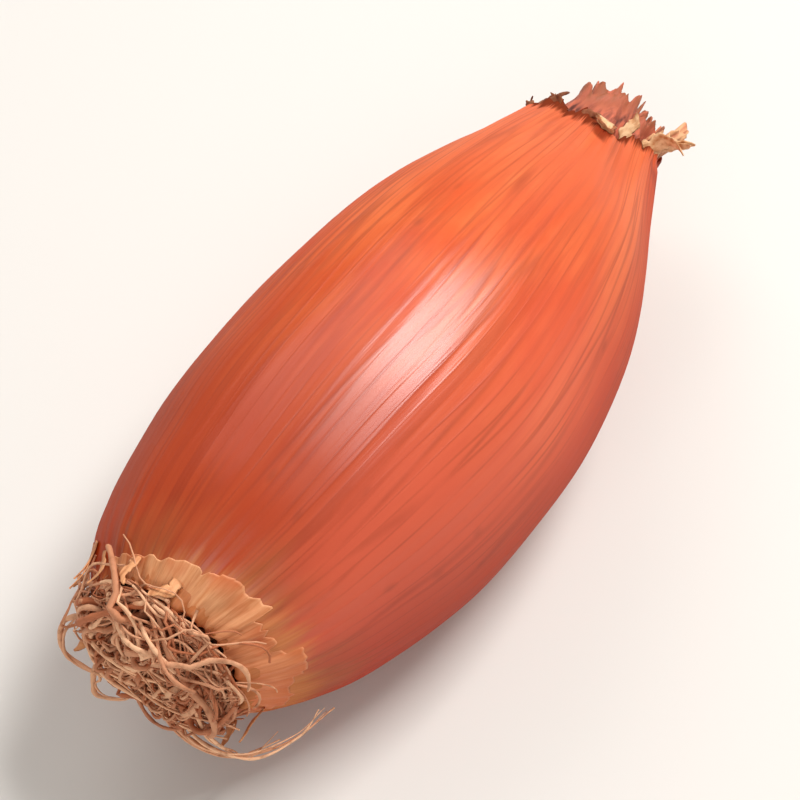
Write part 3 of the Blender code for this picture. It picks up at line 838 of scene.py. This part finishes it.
# flat shreds that leave the skin at (x, theta): each path turns from its starting pitch, in the plane of the
# axis and the radius, by its curl, while it drifts sideways
def makeShreds(name, material, seed, shreds):
    points, sides = shredForm["points"], shredForm["sides"]
    u = np.linspace(0, 1, points)
    draw = np.random.default_rng(seed)
    paths, sideways, widths = [], [], []
    for x0, theta0, lift, reach, width, pitch, curl, drift in shreds:
        turn = math.radians(pitch) + math.radians(curl) * u**1.2
        step = reach / (points - 1)
        along = np.concatenate([[0], np.cumsum(np.cos(turn[:-1]))]) * step
        outwards = np.concatenate([[0], np.cumsum(np.sin(turn[:-1]))]) * step
        theta = math.radians(theta0) + math.radians(drift) * u + 0.03 * np.sin(7 * u + draw.uniform(0, 6))
        cutX = x0 - slantCut(np.array(x0), math.radians(theta0))
        out = outlineRadius(cutX) * (1 + unevenness(x0, math.radians(theta0))) + lift + outwards
        paths.append(place(cutX + along, out * np.cos(theta), out * np.sin(theta)))
        sideways.append(np.stack([0 * u, -np.sin(theta), np.cos(theta)], axis=-1))
        ragged = 1 + 0.18 * np.sin(15 * u + draw.uniform(0, 6)) + 0.12 * np.sin(31 * u + draw.uniform(0, 6))
        widths.append(width / 2 * np.clip(1.15 - u**3, 0.12, 1) * ragged)
    across = np.array(widths)
    vertices, faces = tubes(np.array(paths), across, np.full_like(across, shredForm["half"]), sides,
                            np.array(sideways))
    edge = np.tile(np.concatenate([np.repeat(u, sides), [0.0, 1.0]]), len(shreds))
    addPiece(name, vertices, faces, material, {"edgeShare": np.clip(0.75 + edge, 0, 1)})


shredForm = {
    "points": 18, "sides": 8, "half": 0.00009,
    # each shred: x, theta in degrees, lift off the skin, reach, width, first pitch, curl, drift in degrees
    "neckCurls": (
        (0.0795, 144, -0.0007, 0.0054, 0.0021, 24, 118, 8), (0.0796, 160, -0.0006, 0.0062, 0.0018, 14, 70, 10),
        (0.0795, 171, -0.0006, 0.0052, 0.0015, 22, 84, -6), (0.0788, 104, -0.0003, 0.0036, 0.0024, 74, 100, 3),
        (0.0796, 128, -0.0012, 0.0036, 0.0015, 10, 40, -8), (0.0797, 228, -0.0006, 0.0036, 0.0014, 6, 45, -10),
        (0.0797, 300, -0.0006, 0.0034, 0.0013, 6, 40, 8), (0.0797, 330, -0.0007, 0.0028, 0.0011, 4, 30, 6),
    ),
    "rimThreads": (
        (0.0797, 84, -0.0004, 0.0015, 0.0010, 20, 40, 14), (0.0796, 73, -0.0005, 0.0019, 0.0009, 8, 30, -16),
        (0.0797, 62, -0.0004, 0.0013, 0.0013, 24, 50, 10), (0.0795, 52, -0.0005, 0.0021, 0.0010, 6, 24, 22),
        (0.0797, 43, -0.0004, 0.0014, 0.0012, 16, 44, -12), (0.0796, 33, -0.0005, 0.0020, 0.0009, 4, 30, 18),
        (0.0797, 22, -0.0004, 0.0014, 0.0013, 18, 30, -10), (0.0796, 12, -0.0005, 0.0018, 0.0009, 8, 26, 12),
    ),
    "hemShreds": (
        (0.0030, 16, 0.0001, 0.0050, 0.0009, 214, -40, 6), (0.0024, 25, 0.0001, 0.0054, 0.0010, 214, -40, -6),
        (0.0016, 36, 0.0001, 0.0042, 0.0009, 212, -40, 5), (0.0032, 7, 0.0001, 0.0044, 0.0007, 214, -44, -7),
        (0.0012, 64, 0.0002, 0.0034, 0.0011, 175, 12, 8), (0.0010, 96, 0.0002, 0.0028, 0.0014, 178, 20, -8),
        (0.0010, 205, 0.0002, 0.0040, 0.0012, 172, -10, 6),
        (0.0014, 236, 0.0002, 0.0046, 0.0013, 170, -20, -6),
        (0.0012, 282, 0.0002, 0.0042, 0.0012, 172, -14, 8),
        (0.0012, 330, 0.0002, 0.0050, 0.0014, 170, -18, -6),
    ),
}
makeShreds("neckSkinCurls", shredMaterial, 3, shredForm["neckCurls"])
makeShreds("neckRimThreads", rimMaterial, 12, shredForm["rimThreads"])
makeShreds("hemSkinShreds", hemShredMaterial, 6, shredForm["hemShreds"])


hemForm = {
    "low": -0.0004, "narrow": 0.0006, "wide": 0.0033, "middle": math.radians(140), "lift": 0.00006,
    "peel": 0.00014, "wall": 0.00008, "rows": 22, "around": 1200, "splits": 7, "splitSeed": 21,
}


# what is left of the outermost skin: a pale collar that follows the root end a hair above it, its width a
# cosine hump round the axis, times a torn edge with V-shaped splits
def makePaleHem():
    form = hemForm
    angles = fullTurn(form["around"])[None, :]
    rise = np.linspace(0, 1, form["rows"])[:, None]
    width = form["narrow"] + form["wide"] * (0.5 + 0.5 * np.cos(angles - form["middle"])) ** 1.8
    torn = 1 + 0.16 * ripped(angles, 4, 11) + 0.30 * strips(angles, 9, 34) + 0.09 * ripped(angles, 13, 150)
    draw = np.random.default_rng(form["splitSeed"])
    for split in draw.uniform(0, 2 * math.pi, form["splits"]):
        away = np.abs((angles - split + math.pi) % (2 * math.pi) - math.pi)
        torn = torn - draw.uniform(0.15, 0.75) * np.clip(1 - away / draw.uniform(0.02, 0.06), 0, 1)
    torn = np.maximum(torn, 0.15)
    x = form["low"] - 0.0005 * (1 - rise) * tears(angles, 2.0) + rise * width * torn
    swell = form["lift"] * (1 - 0.5 * rise)
    swell = swell + form["peel"] * rise**5 * np.clip(np.sin(5 * angles + 2.2), 0, 1) ** 2
    out = outlineRadius(x) * (1 + unevenness(x, angles)) + fineRelief(x, angles) + swell
    out = out - 0.0006 * np.clip(1 - (x - form["low"]) / 0.0006, 0, 1) ** 2
    y, z = np.cos(angles), np.sin(angles)
    outer = place(x, out * y, out * z)
    inner = place(x, (out - form["wall"]) * y, (out - form["wall"]) * z)
    points = np.concatenate([inner, outer[::-1]])
    edge = np.concatenate([rise, rise[::-1]]) + 0 * angles
    wrap = np.stack([wrapRadius * y + 0 * x, wrapRadius * z + 0 * x, 1000 * x], axis=-1)
    wrap = np.concatenate([wrap, wrap[::-1]])
    faces = ringQuads(2 * form["rows"], form["around"], closeRows=True)
    addPiece("paleHemSkin", points, faces, hemMaterial,
             {"edgeShare": edge.ravel(), "skinWrap": wrap.reshape(-1, 3)})


makePaleHem()


flareForm = {
    "from": math.radians(142), "to": math.radians(290), "start": -0.0022, "reach": 0.0081, "open": 0.0018,
    "pleat": 0.00034, "wall": 0.00014, "rows": 34, "columns": 320,
}


# a scale that has dried open at the low side of the neck: a strip of a turned wall that opens with a power of
# its height, waves lengthwise as pleats, and is torn along its edge
def makeNeckFlare():
    form = flareForm
    share = np.linspace(0, 1, form["columns"])[None, :]
    rise = np.linspace(0, 1, form["rows"])[:, None]
    theta = form["from"] + (form["to"] - form["from"]) * share
    torn = 1 + 0.16 * ripped(theta, 15, 40) + 0.10 * ripped(theta, 16, 120)
    tall = np.sin(math.pi * (0.10 + 0.86 * share**1.3)) ** 0.6 * torn
    x = length + form["start"] + form["reach"] * rise * tall
    cut = x - slantCut(np.full_like(x, length), theta)
    pleats = np.sin(24 * theta + 2.0 * rise + 1.5 * np.sin(3 * theta)) + 0.5 * np.sin(53 * theta + 1.0)
    out = outlineRadius(length) * (1 + unevenness(length, theta)) - 0.0007 + form["open"] * rise**1.6
    out = out + form["pleat"] * (0.25 + 0.75 * rise) * pleats
    outer = place(cut, out * np.cos(theta), out * np.sin(theta))
    inner = place(cut, (out - form["wall"]) * np.cos(theta), (out - form["wall"]) * np.sin(theta))
    vertices, faces = thinSheet(outer, inner)
    edge = np.tile((0.30 + 0.70 * rise + 0 * share).ravel(), 2)
    addPiece("neckScaleFlare", vertices, faces, flareMaterial, {"edgeShare": edge})


makeNeckFlare()


stageLook = {
    "floor": "#dbd7d1", "floorHalf": 3.0, "worldColour": (1.0, 0.96, 0.92, 1.0), "worldStrength": 0.36,
    # each light: the way to it, how far, its size, its power in watts
    "lights": {"keyPanel": ((0.42, -0.20, 0.88), 0.55, (0.22, 0.16), 2.9),
               "fillPanel": ((0.36, 0.62, 0.70), 0.80, (0.5, 0.5), 1.6),
               "frontPanel": ((-0.80, -0.22, 0.56), 0.70, (0.4, 0.4), 1.2)},
    "middle": (0.0, 0.0, 0.019),
}


# a pale painted board, a dim warm world and three soft panels round the shallot
def makeStage():
    look = stageLook
    material, tree, shader = newMaterial("painted_board")
    shader.inputs["Base Color"].default_value = linear(look["floor"])
    shader.inputs["Roughness"].default_value = 0.7
    mesh = bpy.data.meshes.new("floor")
    half = look["floorHalf"]
    corners = [(-half, -half, 0), (half, -half, 0), (half, half, 0), (-half, half, 0)]
    mesh.from_pydata(corners, [], [(0, 1, 2, 3)])
    mesh.materials.append(material)
    floor = bpy.data.objects.new("floor", mesh)
    bpy.context.scene.collection.objects.link(floor)

    world = bpy.data.worlds.new("studio")
    world.use_nodes = True
    background = world.node_tree.nodes["Background"]
    background.inputs["Color"].default_value = look["worldColour"]
    background.inputs["Strength"].default_value = look["worldStrength"]
    bpy.context.scene.world = world

    for name, (direction, distance, size, power) in look["lights"].items():
        data = bpy.data.lights.new(name, "AREA")
        data.shape = "RECTANGLE"
        data.size, data.size_y = size
        data.energy = power
        lamp = bpy.data.objects.new(name, data)
        toLamp = Vector(direction).normalized()
        lamp.location = Vector(look["middle"]) + toLamp * distance
        lamp.rotation_euler = toLamp.to_track_quat("Z", "Y").to_euler()
        bpy.context.scene.collection.objects.link(lamp)


cameraForm = {"azimuth": math.radians(-55.07), "elevation": math.radians(55.7), "lens": 135, "sensor": 36,
              "distance": 0.316, "aim": (0.0015, 0.0, 0.0180)}


def makeCamera():
    form = cameraForm
    azimuth, elevation = form["azimuth"], form["elevation"]
    back = Vector((math.sin(azimuth) * math.cos(elevation), -math.cos(azimuth) * math.cos(elevation),
                   math.sin(elevation)))
    data = bpy.data.cameras.new("camera")
    data.lens = form["lens"]
    data.sensor_width = form["sensor"]
    data.clip_start = 0.01
    camera = bpy.data.objects.new("camera", data)
    camera.location = Vector(form["aim"]) + back * form["distance"]
    camera.rotation_euler = back.to_track_quat("Z", "Y").to_euler()
    bpy.context.scene.collection.objects.link(camera)
    bpy.context.scene.camera = camera


makeStage()
makeCamera()
bpy.context.scene.view_settings.view_transform = "Standard"
print("stage and camera set")
